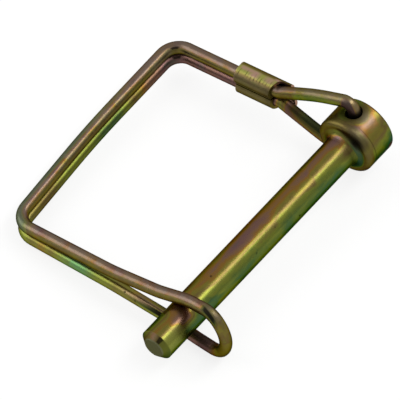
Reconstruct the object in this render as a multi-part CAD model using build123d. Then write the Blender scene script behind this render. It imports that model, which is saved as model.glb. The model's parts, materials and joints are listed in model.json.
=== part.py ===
"""Wire lock pin with a square bail, lying as it comes to rest.

Three pieces: the headed pin, the doubled spring-wire bail that hooks into the head's cross hole
and closes round the shaft near its tip, and the ferrule crimped round both strands by the head.
All sizes in millimetres.

The pieces are drawn on the pin: the origin is where the shaft meets the head, +X runs along the
shaft to its tip, the bail lies towards -Y, and Z is the axis of the cross hole. Then all three
are laid down together on the places where the wire touches a table.
"""
import math
import os

from build123d import *

# Pin
SHAFT_D = 9.5
SHAFT_LENGTH = 81.6
TIP_TAPER_LENGTH = 1.5
TIP_TAPER_DEPTH = 1.9
HEAD_D = 17.5
HEAD_HEIGHT = 10.6
HEAD_TOP_ROUND = 0.9
HEAD_RIM_ROUND = 1.3
NECK_ROUND = 2.0
SEAT_FLAT = 0.2
HOLE_FROM_SEAT = 5.95
HOLE_CLEARANCE = 0.55
HOLE_CHAMFER = 0.3

# Wire
WIRE_D = 3.5
WIRE_END_CHAMFER = 0.3
STRAND_GAP = 0.35
NEAR_CORNER_BEND_R = 5.2
FAR_CORNER_BEND_R = 6.0
BOW_BEND_R = 300.0
EASY_BEND_R = 60.0
SPREAD_BEND_R = 4.0

# Hooks at the head
HOOK_BEND_R = 2.5
HOOK_RISE = 3.6
HOOK_DEPTH = 6.2
HOOK_LEAN = 0.35
HOOK_LEAN_DEG = 140.0
HOOK_ARCH_FROM_AXIS = 12.0
HOOK_ARCH_DROP = 0.25

# Square of the bail, to the wire's centre line
BAIL_REACH = 61.7
FAR_CORNER_TUCK = 3.3
NEAR_LEG_LEAN = 1.4
FAR_LEG_LEAN = 0.6
OUTER_LEG_BOW = 1.2
SPREAD_FROM_AXIS = 25.8
FAR_SPREAD_FROM_AXIS = 24.2
FAR_SPREAD_STEP = 0.9

# Eye round the shaft
EYE_FROM_SEAT = 68.25
EYE_CLEARANCE = 0.1
EYE_ROOM = 7.8
EYE_FOOT_FROM_SHAFT = 3.25
EYE_RISE_DEG = 15.0
EYE_CREST_PAST_AXIS = 2.5
EYE_CREST_R = 20.0
EYE_TOP_RISE_DEG = 3.5
EYE_END_SLOPE_DEG = 36.8
EYE_SIDE_R = 4.7
EYE_END_R = 9.9
EYE_END_LEAN = 0.9

# Ferrule
FERRULE_WALL = 0.9
FERRULE_CLEARANCE = 0.05
FERRULE_BACK_ROOM = 0.3
FERRULE_BACK_CORNER_R = 0.7
FERRULE_LENGTH = 12.8
FERRULE_TONGUE = 3.0
FERRULE_MOUTH_SETBACK = 0.7
FERRULE_MOUTH_SLANT = 1.1
FERRULE_MOUTH_R = 1.6
FERRULE_SEAM = 0.45
FERRULE_VALLEY = 0.45

# The table is found from points along the wire, a few times over
LINE_STEPS = 2000
TABLE_ROUNDS = 6

shaft_r = SHAFT_D / 2
head_r = HEAD_D / 2
wire_r = WIRE_D / 2
strand_z = (WIRE_D + STRAND_GAP) / 2
hinge_x = -HOLE_FROM_SEAT


def make_pin():
    """Shaft and head turned in one about X, with the cross hole drilled along Z."""
    with BuildPart() as pin:
        with BuildSketch():
            with BuildLine():
                Polyline(
                    (-HEAD_HEIGHT, 0),
                    (-HEAD_HEIGHT, head_r),
                    (0, head_r),
                    (0, shaft_r),
                    (SHAFT_LENGTH - TIP_TAPER_LENGTH, shaft_r),
                    (SHAFT_LENGTH, shaft_r - TIP_TAPER_DEPTH),
                    (SHAFT_LENGTH, 0),
                    close=True,
                )
            make_face()
        revolve(axis=Axis.X)
        fillet(round_edges(pin, -HEAD_HEIGHT)[0], HEAD_TOP_ROUND)
        fillet(round_edges(pin, 0)[-1], HEAD_RIM_ROUND)
        # The neck's round gives way to the rim's where the seat is narrow.
        fillet(round_edges(pin, 0)[0], min(NECK_ROUND, head_r - shaft_r - HEAD_RIM_ROUND - SEAT_FLAT))
        with Locations((hinge_x, 0, 0)):
            Cylinder(wire_r + HOLE_CLEARANCE, 2 * HEAD_D, mode=Mode.SUBTRACT)
        chamfer(edges(Select.LAST), HOLE_CHAMFER)
    return pin.part


def round_edges(piece, x):
    """Circular edges of the turned piece at one station along X, smallest first."""
    return piece.edges().filter_by(GeomType.CIRCLE).filter_by_position(Axis.X, x, x).sort_by(SortBy.RADIUS)


def near_leg_x(from_axis):
    """Place along the shaft of the leaning near leg, so far out from the shaft's axis."""
    return hinge_x + NEAR_LEG_LEAN * from_axis / BAIL_REACH


def strand_corners():
    """Corners of one strand's centre line, each with its bend radius.

    They run from the hook's end round the square to the eye's end, on Z = 0. The other strand is
    the mirror image in Z.
    """
    # The strand rises clear over the shaft, from its foot to the crest, and then hardly more.
    rise = math.tan(math.radians(EYE_RISE_DEG))
    over_z = (shaft_r + EYE_CLEARANCE + wire_r) / math.cos(math.radians(EYE_RISE_DEG))
    foot_y = -(shaft_r + EYE_FOOT_FROM_SHAFT)
    crest_z = over_z + EYE_CREST_PAST_AXIS * rise

    # The eye's end is a flat arch, whose two sides would meet on Z = 0.
    top_rise = math.tan(math.radians(EYE_TOP_RISE_DEG))
    slope = math.tan(math.radians(EYE_END_SLOPE_DEG))
    arch = EYE_END_R * (1 / math.cos(math.radians(EYE_END_SLOPE_DEG)) - 1)
    end_y = shaft_r + EYE_ROOM + wire_r + arch
    level_z = crest_z - EYE_CREST_PAST_AXIS * top_rise
    shoulder_y = (end_y - level_z * slope) / (1 + top_rise * slope)

    # The hook leans on one side of its hole, and the strand arches a little on its way there.
    hook_x = hinge_x + HOOK_LEAN * math.cos(math.radians(HOOK_LEAN_DEG))
    hook_y = HOOK_LEAN * math.sin(math.radians(HOOK_LEAN_DEG))
    arch_z = head_r - HOOK_ARCH_DROP

    near_x = near_leg_x(BAIL_REACH)
    far_x = EYE_FROM_SEAT - FAR_LEG_LEAN
    far_y = -(BAIL_REACH - FAR_CORNER_TUCK)
    middle = ((near_x + far_x) / 2, (-BAIL_REACH + far_y) / 2 - OUTER_LEG_BOW)
    return [
        ((hook_x, hook_y, head_r - HOOK_DEPTH), None),
        ((hook_x, hook_y, head_r + HOOK_RISE), HOOK_BEND_R),
        ((near_leg_x(HOOK_ARCH_FROM_AXIS), -HOOK_ARCH_FROM_AXIS, arch_z), EASY_BEND_R),
        ((near_leg_x(SPREAD_FROM_AXIS), -SPREAD_FROM_AXIS, strand_z), SPREAD_BEND_R),
        ((near_x, -BAIL_REACH, strand_z), NEAR_CORNER_BEND_R),
        ((*middle, strand_z), BOW_BEND_R),
        ((far_x, far_y, strand_z), FAR_CORNER_BEND_R),
        ((EYE_FROM_SEAT, -FAR_SPREAD_FROM_AXIS, strand_z + FAR_SPREAD_STEP), EASY_BEND_R),
        ((EYE_FROM_SEAT, foot_y, over_z + foot_y * rise), EYE_CREST_R),
        ((EYE_FROM_SEAT, EYE_CREST_PAST_AXIS, crest_z), EYE_CREST_R),
        ((EYE_FROM_SEAT + EYE_END_LEAN / 2, shoulder_y, level_z + shoulder_y * top_rise), EYE_SIDE_R),
        ((EYE_FROM_SEAT + EYE_END_LEAN, end_y, 0), EYE_END_R),
    ]


def wire_line():
    """Centre line of the whole wire: one strand out to the eye's end, and the other one back."""
    there = strand_corners()
    back = [((x, y, -z), bend) for (x, y, z), bend in reversed(there[:-1])]
    corners = there + back
    with BuildLine() as line:
        FilletPolyline(*[point for point, _ in corners], radius=[bend for _, bend in corners[1:-1]])
    return line.wire()


def make_wire_bail():
    """Round wire swept along its centre line, with its two cut ends chamfered."""
    line = wire_line()
    with BuildPart() as bail:
        with BuildSketch(Plane(origin=line @ 0, z_dir=line % 0)):
            Circle(wire_r)
        sweep(path=line)
        chamfer(bail.faces().filter_by(GeomType.PLANE).edges(), WIRE_END_CHAMFER)
    return bail.part


def ferrule_section(wall):
    """Outline of the ferrule at so much wall, with X into the square and Y across the strands.

    Its back is flat with rounded corners. Its front hugs each strand, with a valley between them.
    """
    cover = wire_r + FERRULE_CLEARANCE + wall
    back = cover + FERRULE_BACK_ROOM
    RectangleRounded(2 * back, 2 * (strand_z + cover), FERRULE_BACK_CORNER_R + wall)
    Rectangle(2 * back, 4 * back, align=(Align.MIN, Align.CENTER), mode=Mode.SUBTRACT)
    Rectangle(cover - FERRULE_VALLEY, 2 * strand_z, align=(Align.MIN, Align.CENTER))
    with Locations((0, strand_z), (0, -strand_z)):
        Circle(cover)


def make_ferrule():
    """Strip rolled round both strands of the near leg, its seam facing into the square.

    The wall that faces out of the square runs on towards the head as a tongue. The rest of the
    mouth stops where the strands part.
    """
    parting = Vector(near_leg_x(SPREAD_FROM_AXIS), -SPREAD_FROM_AXIS, strand_z)
    corner = Vector(near_leg_x(BAIL_REACH), -BAIL_REACH, strand_z)
    along = (corner - parting).normalized()
    start = Vector(parting.X, parting.Y, 0)
    into_square = along.cross(Vector(0, 0, 1)) * -1
    section = Plane(origin=start - along * FERRULE_TONGUE, x_dir=into_square, z_dir=along)
    inner_r = wire_r + FERRULE_CLEARANCE
    outer_r = inner_r + FERRULE_WALL
    mouth = FERRULE_MOUTH_SETBACK
    seam_mouth = mouth + FERRULE_MOUTH_SLANT

    with BuildPart() as ferrule:
        with BuildSketch(section):
            ferrule_section(FERRULE_WALL)
        extrude(amount=FERRULE_TONGUE + mouth + FERRULE_LENGTH)
        with BuildSketch(section):
            ferrule_section(0)
            Rectangle(2 * outer_r, FERRULE_SEAM, align=(Align.MIN, Align.CENTER))
        extrude(amount=FERRULE_TONGUE + mouth + FERRULE_LENGTH, mode=Mode.SUBTRACT)

        # Seen across the strands: X still points into the square, Y now towards the far end.
        with BuildSketch(Plane(origin=start, x_dir=into_square, z_dir=into_square.cross(along))):
            with BuildLine():
                FilletPolyline(
                    (-inner_r, -2 * FERRULE_TONGUE),
                    (-inner_r, mouth),
                    (outer_r, seam_mouth),
                    (2 * outer_r, seam_mouth),
                    (2 * outer_r, -2 * FERRULE_TONGUE),
                    radius=[FERRULE_MOUTH_R, 0, 0],
                )
                Line((2 * outer_r, -2 * FERRULE_TONGUE), (-inner_r, -2 * FERRULE_TONGUE))
            make_face()
        extrude(amount=2 * outer_r + strand_z, both=True, mode=Mode.SUBTRACT)
    return ferrule.part


def table_plane():
    """Plane of the table the pin comes to rest on, through the point where the shaft meets the head.

    The wire touches the table with a hook's bend, the eye and the far corner. Each is found as the
    lowest point of its stretch of the centre line, first as drawn and then on the tilted table.
    """
    line = wire_line()
    points = [line @ (step / LINE_STEPS) for step in range(LINE_STEPS + 1)]
    hook = [p for p in points if p.X < 0 and p.Y > -SPREAD_FROM_AXIS]
    eye = [p for p in points if p.X > 0 and p.Y > -FAR_SPREAD_FROM_AXIS]
    far_corner = [p for p in points if p.X > EYE_FROM_SEAT / 2 and p.Y < -BAIL_REACH / 2]
    up = Vector(0, 0, 1)
    for _ in range(TABLE_ROUNDS):
        a, b, c = (min(stretch, key=up.dot) for stretch in (hook, eye, far_corner))
        up = (c - a).cross(b - a).normalized()
    return Plane(origin=(0, 0, 0), x_dir=Vector(1, 0, 0) - up * up.X, z_dir=up)


def main():
    os.makedirs("parts", exist_ok=True)
    table = table_plane()
    pieces = {"pin": make_pin(), "wire_bail": make_wire_bail(), "ferrule": make_ferrule()}
    laid = {name: table.to_local_coords(piece) for name, piece in pieces.items()}

    # The origin goes to the middle of the base, on the table.
    box = Compound(list(laid.values())).bounding_box()
    to_origin = Location((-box.center().X, -box.center().Y, -box.min.Z))
    for name, piece in laid.items():
        export_step(to_origin * piece, f"parts/{name}.step")


main()
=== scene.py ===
"""Looks of the wire lock pin: yellow zinc plating with interference tints, and a plain studio.

The CAD nodes keep their shape and get procedural materials, which also paint some highlights
and shade into the colours. Every pattern is laid out on the pin itself, in millimetres: X along the
shaft from the head's seat, Y away from the bail, Z along the hole across the head. The bail is a
square: its near leg is by the head, its outer leg runs beside the shaft, and its far leg comes back
to the shaft's end, where the eye goes round it.
"""

import json
import math

import bmesh
import bpy
from mathutils import Matrix, Vector

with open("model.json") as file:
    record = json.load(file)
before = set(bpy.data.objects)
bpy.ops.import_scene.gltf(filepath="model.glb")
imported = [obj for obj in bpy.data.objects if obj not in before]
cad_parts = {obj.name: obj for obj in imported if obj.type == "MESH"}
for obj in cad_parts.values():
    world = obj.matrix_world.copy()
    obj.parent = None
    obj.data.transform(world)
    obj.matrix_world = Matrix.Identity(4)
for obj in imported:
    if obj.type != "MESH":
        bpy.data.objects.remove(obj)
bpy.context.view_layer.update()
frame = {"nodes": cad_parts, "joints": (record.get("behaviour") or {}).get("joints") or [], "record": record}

bl_info = {
    "name": "Wire lock pin",
    "version": (1, 0, 0),
    "blender": (4, 5, 0),
    "location": "3D View > Sidebar > Lock pin",
    "description": "Plated finishes and studio for the wire lock pin",
    "category": "Object",
}

MM = 0.001
SHAFT_R = 4.75
# The middle of the cross hole, and how much the near leg leans in X for each millimetre of Y.
HINGE_X = -5.95
LEG_LEAN = 0.0227
# Across the shaft, as the photo's camera sees it.
ACROSS_Y, ACROSS_Z = -0.832, 0.555
# Where the shaft gives way to the taper at its tip, and the taper to the end face.
TAPER_X = (79.9, 80.3)
END_X = (81.2, 81.5)

# Thickness of the film where one tint lies plain; whole numbers count the turns of the ramp.
END_GREEN = 0.74
HALO_GREEN = 0.72
UNDER_WIRE_ROSE = 1.36
NECK_TEAL = 0.62
NECK_OLIVE = 0.92
SEAT_OLIVE = 1.06
OUTSIDE_TEAL = 0.62
DARK_PATCH_TEAL = 0.60
TIP_SIDE_LIME = 0.88
BEND_AMBER = 1.18
BEND_VIOLET = 1.44
FRONT_OLIVE = 0.96
OLIVE_BESIDE_HIGHLIGHT = 1.06

# What smudges, fine grain and the painted shade add to the roughness, and grain and pits to the relief.
SMUDGE_ROUGHNESS = 0.06
FINE_ROUGHNESS = 0.03
PAINTED_SHADE_ROUGHNESS = 0.25
FINE_HEIGHT = 0.03
PIT_HEIGHT = -1.0

SENSOR_MM = 36
CLIP = (0.1, 20)
WHITE = (1, 1, 1, 1)


def pin_axes():
    """Matrix whose columns are the pin's own X, Y and Z, and the place of its seat, in metres."""
    joint = frame["joints"][0]
    shaft = next(m for m in frame["record"]["mounts"] if m["name"] == "shaft")
    x = Vector(shaft["axis"]).normalized()
    z = -Vector(joint["axis"]).normalized()
    y = z.cross(x)
    seat = Vector(joint["pos_m"]) - x * HINGE_X * MM
    return Matrix((x, y, z)).transposed(), seat


AXES, SEAT = pin_axes()


def colour(name, description, default):
    return bpy.props.FloatVectorProperty(
        name=name, description=description, default=default, subtype="COLOR", size=3, min=0, max=1
    )


def number(name, description, default, low, high):
    return bpy.props.FloatProperty(
        name=name, description=description, default=default, min=low, max=high
    )


def length(name, description, default):
    return bpy.props.FloatProperty(
        name=name, description=description, default=default, min=0,
        subtype="DISTANCE", unit="LENGTH",
    )


def angle(name, description, degrees):
    return bpy.props.FloatProperty(
        name=name, description=description, default=math.radians(degrees),
        subtype="ANGLE", unit="ROTATION",
    )


class LockPinPlating(bpy.types.PropertyGroup):
    """Tints that the zinc film runs through as it gets thicker, the state of its surface, and the colours of
    painted highlights and painted shade.
    """

    bronze: colour("Bronze", "Thinnest film, brownish olive", (0.127, 0.089, 0.030))
    gold: colour("Gold", "Yellow gold film", (0.162, 0.138, 0.026))
    amber: colour("Amber", "Orange brown film", (0.200, 0.104, 0.022))
    rose: colour("Rose", "Pinkish brown film", (0.170, 0.095, 0.055))
    mauve: colour("Mauve", "Dull violet film", (0.144, 0.076, 0.070))
    teal: colour("Teal", "Blue green film", (0.042, 0.100, 0.062))
    green: colour("Green", "Leaf green film", (0.068, 0.112, 0.031))
    lime: colour("Lime", "Yellow green film, the thickest", (0.150, 0.168, 0.026))
    # Worn grey, also used for painted highlights on the rim, beside the hole and on top of the upper strand.
    worn_and_highlight: colour("Worn", "Greyish steel where the film is rubbed thin", (0.180, 0.150, 0.116))
    # Painted light: bright lime highlights, and lifted shade on the wire and the tip.
    painted_lime_light: colour("Burnished", "Bright lime film, pressed or rubbed", (0.340, 0.350, 0.080))
    # Painted light: bright pink highlights on the taper, the wire and the ferrule.
    painted_pink_light: colour("Blush", "Bright pink film, pressed or rubbed", (0.420, 0.255, 0.190))
    # Painted light: a bright sea green highlight on the wire.
    painted_sea_light: colour("Sea green", "Bright bluish green patches", (0.110, 0.290, 0.120))
    # Dark colour of the specks and of all the painted shade.
    dirt_and_painted_shade: colour("Dirt", "Specks, stains and the bottoms of pits", (0.012, 0.009, 0.006))
    grazing: colour("Grazing", "Tint of the film's shine at a flat angle", (0.25, 0.25, 0.2))
    turned: number("Turned", "Roughness of the turned pin", 0.26, 0, 1)
    drawn: number("Drawn", "Roughness of the drawn wire and the ferrule", 0.32, 0, 1)
    specks: number("Specks", "How dark the pits and specks are", 0.75, 0, 1)
    nick_depth: length("Nick depth", "Depth of the nicks and drawing marks", 0.00004)


class LockPinStudio(bpy.types.PropertyGroup):
    """Camera, lamps and floor."""

    azimuth: angle("Azimuth", "Way the camera looks, 0 along +Y and 90 along -X", 130.38)
    elevation: angle("Elevation", "Camera above the horizon", 49.28)
    roll: angle("Roll", "Turn of the picture", -2.71)
    aim_x: length("Aim X", "Point in the middle of the picture", 0.001228)
    aim_y: length("Aim Y", "Point in the middle of the picture", 0.003842)
    aim_z: length("Aim Z", "Point in the middle of the picture", 0.012)
    distance: length("Distance", "Camera to the aim point", 2.6923)
    lens: number("Lens", "Focal length in millimetres on a 36 mm sensor", 916.37, 1, 2000)
    floor: colour("Floor", "Pale floor and backdrop", (0.88, 0.88, 0.87))
    floor_size: length("Floor size", "Width of the floor", 6.0)
    floor_glow: number("Floor glow", "Share of the floor shown as plain backdrop", 0.80, 0, 1)
    sky: number("Sky", "Strength of the light from all round", 0.80, 0, 5)
    lamp_distance: length("Lamp distance", "Each lamp to the middle of the part", 0.8)
    back_strip: number("Back strip", "Radiance of the strip light beyond the shaft", 5.5, 0, 20)
    front_box: number("Front box", "Radiance of the soft box over the eye", 1.9, 0, 20)
    low_box: number("Low box", "Radiance of the low soft box that the hooks show", 1.8, 0, 20)


class Graph:
    """Adds nodes to a tree. Any input takes a plain value or another node's output."""

    def __init__(self, tree):
        self.tree = tree

    def node(self, kind, inputs=None, **settings):
        node = self.tree.nodes.new(kind)
        node.location = (190 * len(self.tree.nodes), -40 * (len(self.tree.nodes) % 5))
        for name, value in settings.items():
            setattr(node, name, value)
        for name, value in (inputs or {}).items():
            self.feed(node.inputs[name], value)
        return node

    def feed(self, socket, value):
        if isinstance(value, bpy.types.NodeSocket):
            self.tree.links.new(value, socket)
        else:
            socket.default_value = value

    def math(self, operation, a, b=0.0, c=0.0):
        node = self.node("ShaderNodeMath", {0: a, 1: b, 2: c}, operation=operation)
        return node.outputs[0]

    def chain(self, operation, values):
        result = values[0]
        for value in values[1:]:
            result = self.math(operation, result, value)
        return result

    def add(self, *terms):
        return self.chain("ADD", terms)

    def times(self, *factors):
        return self.chain("MULTIPLY", factors)

    def most(self, *values):
        return self.chain("MAXIMUM", values)

    def minus(self, a, b):
        return self.math("SUBTRACT", a, b)

    def line(self, value, slope, start):
        return self.math("MULTIPLY_ADD", value, slope, start)

    def hypotenuse(self, a, b):
        return self.math("SQRT", self.add(self.times(a, a), self.times(b, b)))

    def window(self, value, start, end, low=0.0, high=1.0):
        """low before start, high past end, a smooth step between; end may be the smaller one."""
        return self.node(
            "ShaderNodeMapRange",
            {"Value": value, "From Min": start, "From Max": end, "To Min": low, "To Max": high},
            interpolation_type="SMOOTHSTEP",
        ).outputs["Result"]

    def between(self, value, foot, top, top_end, foot_end):
        """1 from top to top_end, falling smoothly to 0 at foot and at foot_end."""
        return self.times(self.window(value, foot, top), self.window(value, foot_end, top_end))

    def band(self, value, middle, half_width):
        """1 at middle, falling smoothly to 0 half_width away."""
        away = self.math("ABSOLUTE", self.minus(value, middle))
        return self.window(away, 0.0, half_width, 1.0, 0.0)

    def broad_band(self, value, middle, half_width, full=0.7):
        """A band that is already 1 where a plain one reaches full."""
        return self.window(self.band(value, middle, half_width), 0.0, full)

    def noise(self, vector, scale, detail=2.0, roughness=0.5, distortion=0.0):
        return self.node(
            "ShaderNodeTexNoise",
            {"Vector": vector, "Scale": scale, "Detail": detail, "Roughness": roughness,
             "Distortion": distortion},
        ).outputs["Fac"]

    def swing(self, noise):
        """Noise spread round 0 in place of 0.5."""
        return self.times(self.minus(noise, 0.5), 2.0)

    def mix(self, factor, a, b):
        """Colour a where factor is 0, b where it is 1."""
        node = self.node("ShaderNodeMix", data_type="RGBA", clamp_factor=True)
        self.feed(node.inputs[0], factor)
        self.feed(node.inputs[6], a)
        self.feed(node.inputs[7], b)
        return node.outputs[2]

    def blend(self, factor, a, b):
        """Number a where factor is 0, b where it is 1."""
        node = self.node("ShaderNodeMix", data_type="FLOAT", clamp_factor=True)
        self.feed(node.inputs[0], factor)
        self.feed(node.inputs[2], a)
        self.feed(node.inputs[3], b)
        return node.outputs[0]

    def scaled(self, vector, x, y, z):
        return self.node(
            "ShaderNodeMapping", {"Vector": vector, "Scale": (x, y, z)}, vector_type="POINT"
        ).outputs[0]

    def split(self, vector):
        node = self.node("ShaderNodeSeparateXYZ", {"Vector": vector})
        return node.outputs[0], node.outputs[1], node.outputs[2]


def group(name, inputs, outputs):
    """New shader node group with these sockets: its graph, what it is given, what it puts out."""
    tree = bpy.data.node_groups.new(name, "ShaderNodeTree")
    for kind, label, default in inputs:
        socket = tree.interface.new_socket(label, in_out="INPUT", socket_type=kind)
        if default is not None:
            socket.default_value = default
    for kind, label in outputs:
        tree.interface.new_socket(label, in_out="OUTPUT", socket_type=kind)
    graph = Graph(tree)
    return graph, graph.node("NodeGroupInput").outputs, graph.node("NodeGroupOutput").inputs


def film_group(plating):
    """Colour of the zinc film from its thickness. Each whole number of Film starts afresh."""
    graph, given, out = group(
        "Zinc film", [("NodeSocketFloat", "Film", 0.0)], [("NodeSocketColor", "Color")]
    )
    ramp = graph.node("ShaderNodeValToRGB", {"Fac": graph.math("FRACT", given["Film"])})
    stops = ramp.color_ramp
    tints = [
        (0.00, plating.bronze), (0.13, plating.gold), (0.22, plating.amber),
        (0.31, plating.rose), (0.43, plating.mauve), (0.57, plating.teal),
        (0.70, plating.green), (0.85, plating.lime), (1.00, plating.bronze),
    ]
    while len(stops.elements) < len(tints):
        stops.elements.new(0.5)
    for stop, (place, tint) in zip(stops.elements, tints):
        stop.position = place
        stop.color = (*tint, 1)
    graph.feed(out["Color"], ramp.outputs["Color"])


def surface_group():
    """Specks, nicks and smudges that all the plated steel shares, from a place in millimetres."""
    graph, given, out = group(
        "Plated surface",
        [("NodeSocketVector", "Place", None), ("NodeSocketFloat", "Specks", 0.75)],
        [("NodeSocketFloat", label) for label in ("Wander", "Fine", "Speck", "Smudge")],
    )
    place = given["Place"]
    graph.feed(out["Wander"], graph.swing(graph.noise(place, 0.11, 2.0, 0.55, 0.6)))
    graph.feed(out["Fine"], graph.swing(graph.noise(place, 1.3, 3.0, 0.6)))
    cells = graph.node("ShaderNodeTexVoronoi", {"Vector": place, "Scale": 0.23}, feature="F1")
    lone = graph.window(graph.noise(place, 0.35), 0.50, 0.62)
    dots = graph.window(cells.outputs["Distance"], 0.05, 0.11, 1.0, 0.0)
    graph.feed(out["Speck"], graph.times(dots, lone, given["Specks"]))
    graph.feed(out["Smudge"], graph.window(graph.noise(place, 0.45, 4.0, 0.65), 0.42, 0.72))


class Plated:
    """A plated steel material in the making: its graph, and the fields that every piece uses."""

    def __init__(self, name, plating):
        self.material = bpy.data.materials.new(name)
        self.material.use_nodes = True
        tree = self.material.node_tree
        tree.nodes.clear()
        self.graph = graph = Graph(tree)
        self.plating = plating
        coordinates = graph.node("ShaderNodeTexCoord").outputs
        turn = AXES.to_euler()
        self.place = graph.node(
            "ShaderNodeMapping",
            {"Vector": coordinates["Object"], "Location": SEAT, "Rotation": turn,
             "Scale": (MM, MM, MM)},
            vector_type="TEXTURE",
        ).outputs[0]
        facing = graph.node(
            "ShaderNodeMapping",
            {"Vector": coordinates["Normal"], "Rotation": turn},
            vector_type="TEXTURE",
        ).outputs[0]
        self.x, self.y, self.z = graph.split(self.place)
        self.nx, self.ny, self.nz = graph.split(facing)
        surface = graph.node("ShaderNodeGroup", node_tree=bpy.data.node_groups["Plated surface"])
        graph.feed(surface.inputs["Place"], self.place)
        surface.inputs["Specks"].default_value = plating.specks
        self.wander, self.fine, self.speck, self.smudge = (
            surface.outputs[label] for label in ("Wander", "Fine", "Speck", "Smudge")
        )

    def tint(self, film):
        """Colour of a film of that thickness."""
        node = self.graph.node("ShaderNodeGroup", node_tree=bpy.data.node_groups["Zinc film"])
        self.graph.feed(node.inputs["Film"], film)
        return node.outputs["Color"]

    def finish(self, film, relief, roughness, patches, painted_shade):
        """The material, from the film, the relief, patches (mask, colour) and the painted shade mask."""
        graph = self.graph
        tinted = self.tint(film)
        for mask, tint in patches:
            tinted = graph.mix(mask, tinted, (*tint, 1))
        # Specks and the painted shade both take the dark dirt colour.
        tinted = graph.mix(graph.most(self.speck, painted_shade), tinted, (*self.plating.dirt_and_painted_shade, 1))
        rough = graph.add(
            roughness, graph.times(self.smudge, SMUDGE_ROUGHNESS),
            graph.times(self.fine, FINE_ROUGHNESS), graph.times(painted_shade, PAINTED_SHADE_ROUGHNESS),
        )
        height = graph.add(
            relief, graph.times(self.fine, FINE_HEIGHT), graph.times(self.speck, PIT_HEIGHT)
        )
        bump = graph.node(
            "ShaderNodeBump",
            {"Height": height, "Distance": self.plating.nick_depth, "Strength": 1.0},
        )
        shader = graph.node(
            "ShaderNodeBsdfPrincipled",
            {"Base Color": tinted, "Metallic": 1.0, "Roughness": rough,
             "Specular Tint": (*self.plating.grazing, 1), "Normal": bump.outputs["Normal"]},
        )
        output = graph.node("ShaderNodeOutputMaterial")
        graph.feed(output.inputs["Surface"], shader.outputs["BSDF"])
        return self.material


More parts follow.
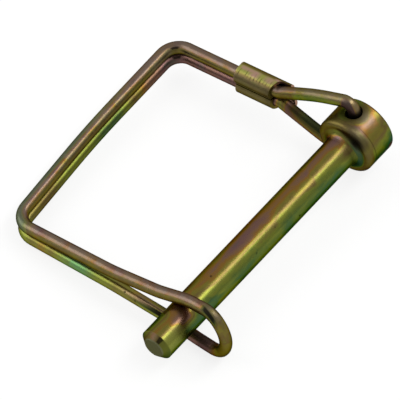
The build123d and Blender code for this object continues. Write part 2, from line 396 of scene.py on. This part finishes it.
class TurnedPin(Plated):
    """The pin: film running round the shaft, turning marks, painted highlights on the rim and by the hole,
    painted shade on the seat.
    """

    def __init__(self, plating):
        super().__init__("Plated turned pin", plating)
        g, x, y, z = self.graph, self.x, self.y, self.z
        # 1 on the side of the shaft towards the bail, -1 on the far side.
        self.across = g.times(g.add(g.times(y, ACROSS_Y), g.times(z, ACROSS_Z)), 1 / SHAFT_R)
        self.around = g.math("ARCTAN2", y, z)
        self.from_axis = g.hypotenuse(y, z)
        self.from_hole = g.hypotenuse(g.minus(x, HINGE_X), y)
        # Like across, but -1 to 1 at any radius, for the taper.
        self.turned_to = g.math("DIVIDE", g.times(self.across, SHAFT_R), self.from_axis)
        clouds = g.noise(g.scaled(self.place, 0.10, 0.22, 0.22), 1.0, 4.0, 0.62, 0.8)
        self.clouds = g.swing(clouds)
        self.on_head = g.window(x, 0.2, -0.9)
        self.past_shaft = g.window(x, *TAPER_X)
        self.end = g.window(x, *END_X)
        self.taper = g.between(x, *TAPER_X, *END_X)
        self.facing_light = g.band(self.around, 0.80, 0.70)
        # The last stretch of the shaft, on the side away from the bail.
        self.green_side = g.times(g.window(x, 72.5, 74.5), g.window(self.across, 0.15, -0.25))
        self.seat = self.seat_and_painted_shade()

    def seat_and_painted_shade(self):
        """Painted shade on the seat and the neck, strongest where they face the light."""
        g = self.graph
        lit = g.times(self.facing_light, g.window(self.from_axis, 8.7, 8.1, 0.35, 0.80))
        ring = g.times(g.window(self.x, -2.4, -1.4), g.window(self.from_axis, 4.95, 5.8))
        return g.times(ring, g.add(0.16, lit))

    def shaft_film(self):
        """From green through lime and gold to rose on the bail's side, cloudy and streaked."""
        g, x, across = self.graph, self.x, self.across
        round_it = [
            (-0.85, -0.45, 0.05), (-0.55, -0.15, 0.12), (-0.15, 0.30, 0.26), (0.25, 0.60, 0.17),
            (0.65, 0.95, -0.19),
        ]
        along_it = [(41.0, 14.0, 0.07), (55.5, 6.0, 0.09), (64.0, 5.0, -0.06), (2.0, 5.0, 0.12)]
        by_tip = g.times(g.window(across, 0.42, 0.85), g.window(x, 71.5, 74.0), -0.32)
        streaks = g.swing(g.noise(g.scaled(self.place, 0.045, 0.45, 0.45), 1.0, 3.0, 0.6))
        film = g.add(
            0.71, *(g.times(g.window(across, start, end), rise) for start, end, rise in round_it),
            by_tip, *(g.times(g.band(x, middle, half), rise) for middle, half, rise in along_it),
            g.times(streaks, 0.14), g.times(self.clouds, 0.26), g.times(self.fine, 0.03),
        )
        # Under the wire the film is rosy; past it, the side away from the bail is green.
        rosy = g.times(
            g.between(x, 67.0, 70.0, 73.5, 78.0), g.between(across, -0.6, -0.2, 0.15, 0.60)
        )
        film = g.blend(rosy, film, UNDER_WIRE_ROSE)
        green = g.window(across, -0.5, -0.95, TIP_SIDE_LIME, END_GREEN)
        return g.blend(g.times(self.green_side, 0.8), film, green)

    def head_film(self):
        """Thinning from the hole round to the far side, and cloudy on the end face."""
        g, x = self.graph, self.x
        thinning = g.line(self.around, -0.52, 1.60)
        film = g.add(
            g.blend(g.window(self.around, -0.1, 0.2), 1.05, thinning),
            g.times(g.window(x, -7.5, -9.5), -0.16), g.times(self.clouds, 0.24),
            g.times(self.fine, 0.03),
        )
        end_face = g.add(0.92, g.times(self.clouds, 0.40), g.times(self.from_axis, 0.022))
        return g.blend(g.window(x, -10.1, -10.5), film, end_face)

    def film(self):
        """Shaft and head, a green halo round the hole, a green end face, and the seat."""
        g = self.graph
        film = g.blend(self.on_head, self.shaft_film(), self.head_film())
        halo = g.times(g.window(self.from_hole, 5.2, 3.4), g.window(self.x, -1.2, -2.4))
        film = g.blend(g.times(halo, 0.65), film, HALO_GREEN)
        film = g.blend(self.end, film, END_GREEN)
        neck = g.blend(g.window(self.around, 0.4, 0.9), NECK_OLIVE, NECK_TEAL)
        ring = g.blend(g.window(self.from_axis, 6.2, 7.4), neck, SEAT_OLIVE)
        ring = g.add(ring, g.times(self.clouds, 0.20))
        return g.blend(g.window(self.seat, 0.0, 0.1), film, ring)

    def painted_shade(self, outer):
        """Painted shade on the seat and round the hole, dark lines by the rim and round the neck, painted
        shade on the shaft by the head and on the head beside the rim, a darker taper and end face, and a
        painted dark reflection on the taper.
        """
        g, x = self.graph, self.x
        return g.most(
            self.seat,
            g.times(g.window(self.from_hole, 5.4, 2.3), 0.62),
            g.times(g.band(x, -2.9, 0.30), outer, 0.5),
            g.times(g.band(x, 1.0, 0.2), self.facing_light, 0.5),
            g.times(g.band(x, 1.4, 4.2), g.window(self.across, 0.45, 0.0), 0.42),
            g.times(g.band(x, -2.2, 2.3), g.band(self.around, 0.38, 0.48), 0.60),
            g.times(self.past_shaft, g.window(x, *END_X, 0.32, 0.15)),
            g.times(self.taper, g.broad_band(self.turned_to, 0.05, 0.28), 0.88),
        )

    def worn_and_highlight(self, outer):
        """Painted highlights along the rim's edge and beside the hole, the tip's end face worn grey, and the
        seat greyed where its painted shade lies.
        """
        g, x, around = self.graph, self.x, self.around
        # Painted highlight along the rim's edge, and a painted highlight on the head beside the hole.
        edge = g.times(g.window(x, -2.9, -2.5), outer, g.band(around, 0.65, 0.7), 0.40)
        bright = g.times(g.band(around, 0.50, 0.50), g.band(x, -6.4, 3.2), 0.50, self.on_head)
        return g.most(edge, bright, g.times(self.end, 0.55), g.times(self.seat, 0.35))

    def build(self):
        g, x, plating = self.graph, self.x, self.plating
        outer = g.window(self.from_axis, 7.8, 8.4)
        # Painted pink highlight on the taper.
        pale = g.times(self.taper, g.band(self.turned_to, 0.52, 0.34), 0.45)
        # Painted lime light on the far side of the shaft before the taper.
        limed = g.times(
            self.green_side, g.window(self.across, -1.0, -0.75),
            g.window(x, TAPER_X[1], TAPER_X[0], 0.0, 0.32),
        )
        patches = [
            (self.worn_and_highlight(outer), plating.worn_and_highlight), (pale, plating.painted_pink_light), (limed, plating.painted_lime_light),
        ]
        rough = g.add(plating.turned, g.times(self.on_head, 0.06), g.times(self.past_shaft, 0.12))
        turning_marks = g.noise(g.scaled(self.place, 6.0, 0.15, 0.15), 1.0, 1.0)
        relief = g.add(g.times(turning_marks, 0.02), g.times(self.smudge, self.on_head, 0.6))
        return self.finish(self.film(), relief, rough, patches, self.painted_shade(outer))


class SpringWire(Plated):
    """The bail: a greyer upper strand with a painted highlight on top, a yellow and green lower one, drawing
    marks, painted shade and dark reflections.
    """

    def __init__(self, plating):
        super().__init__("Plated spring wire", plating)
        g, x, y, z = self.graph, self.x, self.y, self.z
        self.upper = g.window(z, -0.6, 0.6)
        self.lower = g.window(z, 0.6, -0.6)
        self.far_leg = g.window(x, 58.0, 64.0)
        self.eye_end = g.window(x, 60.0, 62.0)
        self.hook = g.times(g.window(y, -22.0, -17.0), g.window(x, 4.0, 0.0))
        # How far the surface faces +X and +Y at once, and +X and -Y.
        self.diagonal_in = g.add(self.nx, self.ny)
        self.diagonal_out = g.minus(self.nx, self.ny)
        self.clouds = g.swing(g.noise(self.place, 0.16, 4.0, 0.6, 0.5))
        self.outside = g.times(g.window(self.ny, 0.35, -0.15), g.window(y, -50.0, -56.0))
        self.violet, self.bend = self.hook_bend()
        self.painted_dark_patch = self.painted_dark_patches()

    def hook_bend(self):
        """Masks of the violet side of the bend over the hole, and of all of the bend."""
        g = self.graph
        bend = g.times(self.hook, g.window(self.y, -3.0, -1.9), g.window(self.z, 13.4, 12.4))
        return g.times(bend, g.window(self.diagonal_out, -0.30, -0.05)), bend

    def painted_dark_patches(self):
        """Painted shade under the wire beside the head and beside the shaft, and a painted dark reflection
        on the crest of the eye.
        """
        g, x, y, nx = self.graph, self.x, self.y, self.nx
        by_head = g.times(
            g.window(y, -25.0, -21.5), g.window(x, 2.0, 0.0), g.window(nx, 0.90, 0.45, 0.35, 0.85)
        )
        by_shaft = g.most(
            g.times(g.band(y, -8.0, 13.0), g.between(nx, 0.30, 0.50, 0.85, 0.98)),
            g.times(g.band(y, -7.0, 12.0), g.window(nx, 0.1, -0.2, 0.0, 0.5)),
        )
        below = g.times(
            g.most(by_head, g.times(by_shaft, self.eye_end)), g.window(self.z, 0.2, -0.8),
            g.window(self.nz, -0.1, 0.45, 0.3, 1.0),
        )
        # Painted dark reflection along the crest of the eye.
        crest = g.times(
            g.broad_band(y, 10.8, 3.8),
            g.most(g.broad_band(self.diagonal_out, 0.40, 0.66, 0.8), 0.25),
            self.eye_end, self.upper, 0.95,
        )
        return g.most(below, crest)

    def upper_film(self):
        """Rosy; olive on the sides towards the tip and the shaft; teal outside on the outer leg."""
        g = self.graph
        inward = g.add(g.window(self.ny, 0.35, 0.9), g.window(self.nx, 0.50, 0.95))
        film = g.add(
            1.33, g.times(self.hook, -0.23), g.times(inward, -0.30), g.times(self.clouds, 0.36),
            g.times(g.window(self.y, -40.0, -50.0), 0.05),
        )
        return g.blend(g.times(self.outside, g.window(self.x, 5.0, 40.0)), film, OUTSIDE_TEAL)

    def lower_film(self):
        """Running through the tints along its length."""
        g, x, y = self.graph, self.x, self.y
        outer_leg = g.add(
            1.32, g.times(g.window(x, 6.0, 20.0), -0.50), g.times(g.window(x, 46.0, 66.0), 0.30),
            g.times(g.band(x, 26.0, 13.0), g.window(self.ny, 0.5, 0.9, -0.06, -0.17)),
        )
        far_leg = g.add(
            0.84, g.times(g.band(y, -48.8, 6.0), 0.36), g.times(g.band(y, -34.5, 7.5), -0.10),
            g.times(g.window(y, -29.0, -20.0), 0.22), g.times(g.window(y, -21.0, -13.0), 0.36),
            g.times(g.window(y, 7.0, 12.0), -0.33),
        )
        near_leg = g.line(g.band(y, -25.0, 2.2), -0.50, 1.40)
        film = g.blend(g.window(x, 0.0, 6.0), near_leg, outer_leg)
        film = g.blend(g.times(self.far_leg, g.window(y, -60.0, -56.0)), film, far_leg)
        film = g.add(film, g.times(self.clouds, 0.15), g.times(g.window(self.ny, 0.2, 0.9), 0.06))
        tip_side = g.times(
            g.between(y, -20.0, -14.0, -2.0, 2.0), self.eye_end, g.window(self.nx, 0.70, 0.86)
        )
        return g.blend(tip_side, film, TIP_SIDE_LIME)

    def film(self):
        """Both strands, the hook's bend in amber and violet, and the teal tint of the painted dark patches.
        """
        g = self.graph
        film = g.blend(self.upper, self.lower_film(), self.upper_film())
        film = g.add(film, g.times(self.fine, 0.04))
        film = g.blend(self.bend, film, BEND_AMBER)
        film = g.blend(self.violet, film, BEND_VIOLET)
        return g.blend(g.times(self.painted_dark_patch, g.window(self.y, -25.0, -17.0)), film, DARK_PATCH_TEAL)

    def painted_shade(self):
        """Painted shade down the hole, on the painted dark patches and the violet side of the bend, at the
        corner by the ferrule and in spots on its bend, where the eye goes under, and inside the outer leg.
        """
        g, x, y, z = self.graph, self.x, self.y, self.z
        in_hole = g.times(g.window(z, 11.0, 8.8), g.window(y, -3.5, -2.5), g.window(x, 0.0, -1.0))
        corner = g.times(
            g.window(y, -57.0, -59.5), g.window(x, 3.0, -1.0), g.window(self.diagonal_in, -0.5, 0.7)
        )
        # Painted dark spots where the highlight breaks on the corner's bend.
        spots = g.times(
            g.broad_band(self.diagonal_in, 0.97, 0.36), g.broad_band(self.diagonal_out, 0.0, 0.46),
            g.window(y, -54.0, -56.0), g.window(x, 6.0, 4.0),
        )
        past_shaft = g.times(
            g.between(y, 3.0, 5.0, 9.0, 12.0), g.window(z, -0.4, -1.2), self.eye_end
        )
        inside = g.times(g.window(self.ny, 0.35, 0.9), g.window(y, -50.0, -54.0))
        return g.most(
            g.times(in_hole, 0.95), self.painted_dark_patch, g.times(self.violet, 0.60),
            g.times(corner, 0.35), g.times(spots, 0.92), g.times(past_shaft, 0.38),
            g.times(inside, 0.22),
        )

    def worn_and_highlight(self):
        """Painted grey highlights on top of the upper strand and over the near leg, and greyer on its outer
        sides.
        """
        g = self.graph
        patchiness = g.window(g.noise(self.place, 0.33, 3.0, 0.6), 0.30, 0.60)
        # Painted grey highlight on the top of the upper strand, broken up by noise.
        top = g.times(g.window(self.nz, 0.25, 0.95), self.upper, patchiness, 0.60)
        # Painted grey highlight over the near leg's upper strand.
        near_leg = g.times(g.window(self.nx, 0.65, 0.2), g.window(self.x, 10.0, 5.0))
        return g.most(top, g.times(g.most(self.outside, near_leg), self.upper, 0.45))

    def build(self):
        g, y, plating = self.graph, self.y, self.plating
        far_lower = g.times(self.far_leg, self.lower)
        # Painted lime light, lifting the far leg's lower strand.
        pale = g.times(far_lower, g.window(y, -4.0, -8.0))
        # Painted pink highlight line along the far leg's lower strand.
        pink = g.times(
            far_lower, g.between(y, -23.0, -18.0, -12.5, -9.5), g.band(self.nx, 0.48, 0.36)
        )
        # Painted sea green highlight on the far leg's lower strand.
        painted_sea_light = g.times(far_lower, g.band(y, -36.5, 7.5), g.window(self.clouds, -0.7, 0.2))
        patches = [
            (g.times(pale, 0.22), plating.painted_lime_light), (self.worn_and_highlight(), plating.worn_and_highlight),
            (g.times(pink, 0.50), plating.painted_pink_light), (g.times(painted_sea_light, 0.85), plating.painted_sea_light),
        ]
        drawing_marks = g.noise(self.place, 2.2, 3.0)
        relief = g.add(g.times(drawing_marks, 0.05), g.times(self.smudge, 0.3))
        return self.finish(self.film(), relief, plating.drawn, patches, self.painted_shade())


class RolledFerrule(Plated):
    """The ferrule: a lime and pink painted highlight along the top, olive elsewhere, fine ripples."""

    def __init__(self, plating):
        super().__init__("Plated rolled ferrule", plating)
        g = self.graph
        # Millimetres from the middle of the wire, towards the shaft's tip.
        self.across = g.add(self.x, -HINGE_X, g.times(self.y, LEG_LEAN))
        self.front = g.window(self.nx, 0.35, 0.8)
        # The painted highlight strip along the top of the upper strand.
        self.highlight_strip = g.times(
            g.between(self.across, -1.6, -0.7, 0.5, 1.6), g.window(self.nz, 0.2, 0.6)
        )

    def pink(self):
        """Where the painted highlight strip is pink in place of lime."""
        g, y, across = self.graph, self.y, self.across
        middle = g.times(g.band(y, -33.6, 2.4), g.window(across, 1.6, 0.5))
        back = g.times(
            g.between(y, -39.0, -38.0, -33.5, -31.5), g.window(across, 0.6, -0.6, 0.0, 0.9)
        )
        near_mouth = g.times(g.band(y, -28.9, 2.6), g.window(across, 1.2, 0.0, 0.1, 0.85))
        return g.line(self.fine, 0.15, g.most(middle, back, near_mouth))

    def ripples(self):
        """Fine lines across the front of the upper strand, each starting at a place of its own."""
        g, y, across = self.graph, self.y, self.across
        bent = g.noise(g.scaled(self.place, 0.15, 0.7, 0.15), 1.0, 2.0)
        strong = g.noise(g.scaled(self.place, 0.15, 0.9, 0.15), 1.7, 2.0)
        lines = g.band(g.math("FRACT", g.line(bent, 1.6, g.times(y, 0.95))), 0.5, 0.22)
        starts = g.line(strong, 4.0, -2.6)
        return g.times(
            lines, g.window(strong, 0.40, 0.62), g.window(g.minus(across, starts), -0.5, 0.8),
            g.window(across, 2.2, 1.5), g.window(self.z, 0.0, 1.0),
        )

    def film(self, pink):
        """Lime to pink under the painted highlight strip, olive elsewhere, and plain olive down the front.
        """
        g = self.graph
        film = g.blend(self.highlight_strip, OLIVE_BESIDE_HIGHLIGHT, g.add(0.90, g.times(pink, 0.30)))
        film = g.blend(g.times(self.front, g.window(self.z, -0.3, 0.3)), film, FRONT_OLIVE)
        return g.add(film, g.times(self.wander, 0.12), g.times(self.fine, 0.04))

    def build(self):
        g, y, across, plating = self.graph, self.y, self.across, self.plating
        pink, ripples = self.pink(), self.ripples()
        # Painted highlight on the rim at the ferrule's far end.
        rim = g.band(y, -39.2, 0.4)
        # Painted shade under the mouth; the ripple lines and the front take painted shade too.
        under_mouth = g.times(g.window(y, -30.5, -27.5), g.window(across, 0.8, 2.0))
        painted_shade = g.add(
            g.times(ripples, 0.60), g.times(self.front, 0.13), g.times(under_mouth, 0.22)
        )
        # Painted light on the inside of the mouth, and a painted highlight on the lip.
        mouth = g.times(
            g.window(y, -28.5, -27.0), g.window(across, -0.6, -1.4), g.window(self.nx, -0.4, 0.0)
        )
        lip = g.times(g.window(self.ny, 0.35, 0.8), g.window(across, 1.5, -0.5, 0.0, 0.50))
        patches = [
            (g.times(self.highlight_strip, 0.85), plating.painted_lime_light),
            (g.most(g.times(self.highlight_strip, pink), g.times(rim, 0.3)), plating.painted_pink_light),
            (g.times(mouth, 0.90), plating.painted_pink_light), (g.times(self.front, 0.22), plating.worn_and_highlight),
            (lip, plating.painted_pink_light),
        ]
        relief = g.add(g.times(ripples, -0.5), g.times(self.smudge, 0.6))
        return self.finish(self.film(pink), relief, plating.drawn, patches, painted_shade)


def use_material(node, material):
    """Gives a CAD node its material in every slot."""
    for slot in frame["nodes"][node].material_slots:
        slot.material = material


class LOCKPIN_OT_plating(bpy.types.Operator):
    """Build the shader groups that all three finishes share"""

    bl_idname = "lockpin.plating"
    bl_label = "Plating groups"

    def execute(self, context):
        film_group(context.scene.lock_pin_plating)
        surface_group()
        return {"FINISHED"}


class LOCKPIN_OT_pin(bpy.types.Operator):
    """Plate the turned pin: film running round the shaft, turning marks, painted highlights and shade, and a
    dark ring line
    """

    bl_idname = "lockpin.pin"
    bl_label = "Pin finish"

    def execute(self, context):
        use_material("pin", TurnedPin(context.scene.lock_pin_plating).build())
        return {"FINISHED"}


class LOCKPIN_OT_wire_bail(bpy.types.Operator):
    """Plate the spring wire: a greyer upper strand with a painted highlight, a yellow and green lower one,
    drawing marks, painted shade
    """

    bl_idname = "lockpin.wire_bail"
    bl_label = "Wire bail finish"

    def execute(self, context):
        use_material("wire_bail", SpringWire(context.scene.lock_pin_plating).build())
        return {"FINISHED"}


class LOCKPIN_OT_ferrule(bpy.types.Operator):
    """Plate the rolled ferrule, with a painted highlight along its top and the ripples that its crimping
    left across the front
    """

    bl_idname = "lockpin.ferrule"
    bl_label = "Ferrule finish"

    def execute(self, context):
        use_material("ferrule", RolledFerrule(context.scene.lock_pin_plating).build())
        return {"FINISHED"}


class LOCKPIN_OT_studio(bpy.types.Operator):
    """Pale floor, three soft lamps and light from all round, and the camera"""

    bl_idname = "lockpin.studio"
    bl_label = "Studio"

    def execute(self, context):
        scene, studio = context.scene, context.scene.lock_pin_studio
        self.floor(scene, studio)
        self.sky(scene, studio)
        for name, toward, size, radiance in (
            ("Back strip", (-0.451, 0.485, 0.75), (0.8, 0.22), studio.back_strip),
            ("Front box", (0.40, -0.495, 0.775), (0.60, 0.42), studio.front_box),
            ("Low box", (0.36, -0.85, 0.38), (0.50, 0.36), studio.low_box),
        ):
            self.lamp(scene, studio, name, toward, size, radiance)
        self.camera(scene, studio)
        scene.view_settings.view_transform = "Standard"
        return {"FINISHED"}

    def floor(self, scene, studio):
        bm = bmesh.new()
        bmesh.ops.create_grid(bm, x_segments=1, y_segments=1, size=studio.floor_size / 2)
        mesh = bpy.data.meshes.new("studio_floor")
        bm.to_mesh(mesh)
        bm.free()
        floor = bpy.data.objects.new("studio_floor", mesh)
        scene.collection.objects.link(floor)
        mesh.materials.append(self.floor_material(studio))

    def floor_material(self, studio):
        """Pale paint, mostly shown as plain white wherever the camera or a reflection looks."""
        material = bpy.data.materials.new("Pale floor")
        material.use_nodes = True
        material.node_tree.nodes.clear()
        g = Graph(material.node_tree)
        path = g.node("ShaderNodeLightPath").outputs
        seen = g.most(
            path["Is Camera Ray"], path["Is Glossy Ray"], path["Is Transmission Ray"]
        )
        paint = g.node("ShaderNodeBsdfDiffuse", {"Color": (*studio.floor, 1)})
        glow = g.node("ShaderNodeEmission", {"Color": WHITE, "Strength": 1.0})
        mixed = g.node("ShaderNodeMixShader", {0: g.times(seen, studio.floor_glow)})
        g.feed(mixed.inputs[1], paint.outputs[0])
        g.feed(mixed.inputs[2], glow.outputs[0])
        output = g.node("ShaderNodeOutputMaterial")
        g.feed(output.inputs["Surface"], mixed.outputs[0])
        return material

    def sky(self, scene, studio):
        world = bpy.data.worlds.new("Studio")
        world.use_nodes = True
        world.node_tree.nodes.clear()
        g = Graph(world.node_tree)
        height = g.split(g.node("ShaderNodeTexCoord").outputs["Generated"])[2]
        strength = g.times(g.window(height, -0.1, 0.5, 0.8, 1.0), studio.sky)
        background = g.node("ShaderNodeBackground", {"Color": WHITE, "Strength": strength})
        output = g.node("ShaderNodeOutputWorld")
        g.feed(output.inputs["Surface"], background.outputs[0])
        scene.world = world

    def lamp(self, scene, studio, name, toward, size, radiance):
        """Area light of that radiance, that way on the pin's axes, its length along the shaft."""
        data = bpy.data.lights.new(name, "AREA")
        data.shape = "RECTANGLE"
        data.size, data.size_y = size
        data.energy = radiance * math.pi * size[0] * size[1]
        lamp = bpy.data.objects.new(name, data)
        back = (AXES @ Vector(toward)).normalized()
        along = AXES @ Vector((1, 0, 0))
        side = (along - back * back.dot(along)).normalized()
        turn = Matrix((side, back.cross(side), back)).transposed()
        lamp.matrix_world = Matrix.Translation(back * studio.lamp_distance) @ turn.to_4x4()
        scene.collection.objects.link(lamp)

    def camera(self, scene, studio):
        data = bpy.data.cameras.new("Camera")
        data.sensor_width = SENSOR_MM
        data.lens = studio.lens
        data.clip_start, data.clip_end = CLIP
        camera = bpy.data.objects.new("Camera", data)
        a, e = studio.azimuth, studio.elevation
        back = Vector((math.sin(a) * math.cos(e), -math.cos(a) * math.cos(e), math.sin(e)))
        turn = (-back).to_track_quat("-Z", "Y").to_matrix() @ Matrix.Rotation(studio.roll, 3, "Z")
        aim = Vector((studio.aim_x, studio.aim_y, studio.aim_z))
        camera.matrix_world = Matrix.Translation(aim + back * studio.distance) @ turn.to_4x4()
        scene.collection.objects.link(camera)
        scene.camera = camera


class LOCKPIN_PT_panel(bpy.types.Panel):
    """Finishes and studio of the wire lock pin"""

    bl_idname = "LOCKPIN_PT_panel"
    bl_label = "Wire lock pin"
    bl_space_type = "VIEW_3D"
    bl_region_type = "UI"
    bl_category = "Lock pin"

    def draw(self, context):
        for title, settings in (
            ("Plating", context.scene.lock_pin_plating),
            ("Studio", context.scene.lock_pin_studio),
        ):
            box = self.layout.box()
            box.label(text=title)
            for name in settings.__annotations__:
                box.prop(settings, name)
        for operator in STEPS:
            self.layout.operator(operator.bl_idname)


STEPS = (
    LOCKPIN_OT_plating, LOCKPIN_OT_pin, LOCKPIN_OT_wire_bail, LOCKPIN_OT_ferrule,
    LOCKPIN_OT_studio,
)
CLASSES = (LockPinPlating, LockPinStudio, *STEPS, LOCKPIN_PT_panel)


def register():
    for kind in CLASSES:
        bpy.utils.register_class(kind)
    bpy.types.Scene.lock_pin_plating = bpy.props.PointerProperty(type=LockPinPlating)
    bpy.types.Scene.lock_pin_studio = bpy.props.PointerProperty(type=LockPinStudio)


def unregister():
    del bpy.types.Scene.lock_pin_studio
    del bpy.types.Scene.lock_pin_plating
    for kind in reversed(CLASSES):
        bpy.utils.unregister_class(kind)


def main():
    register()
    bpy.ops.lockpin.plating()
    bpy.ops.lockpin.pin()
    bpy.ops.lockpin.wire_bail()
    bpy.ops.lockpin.ferrule()
    bpy.ops.lockpin.studio()


if __name__ == "__main__":
    main()
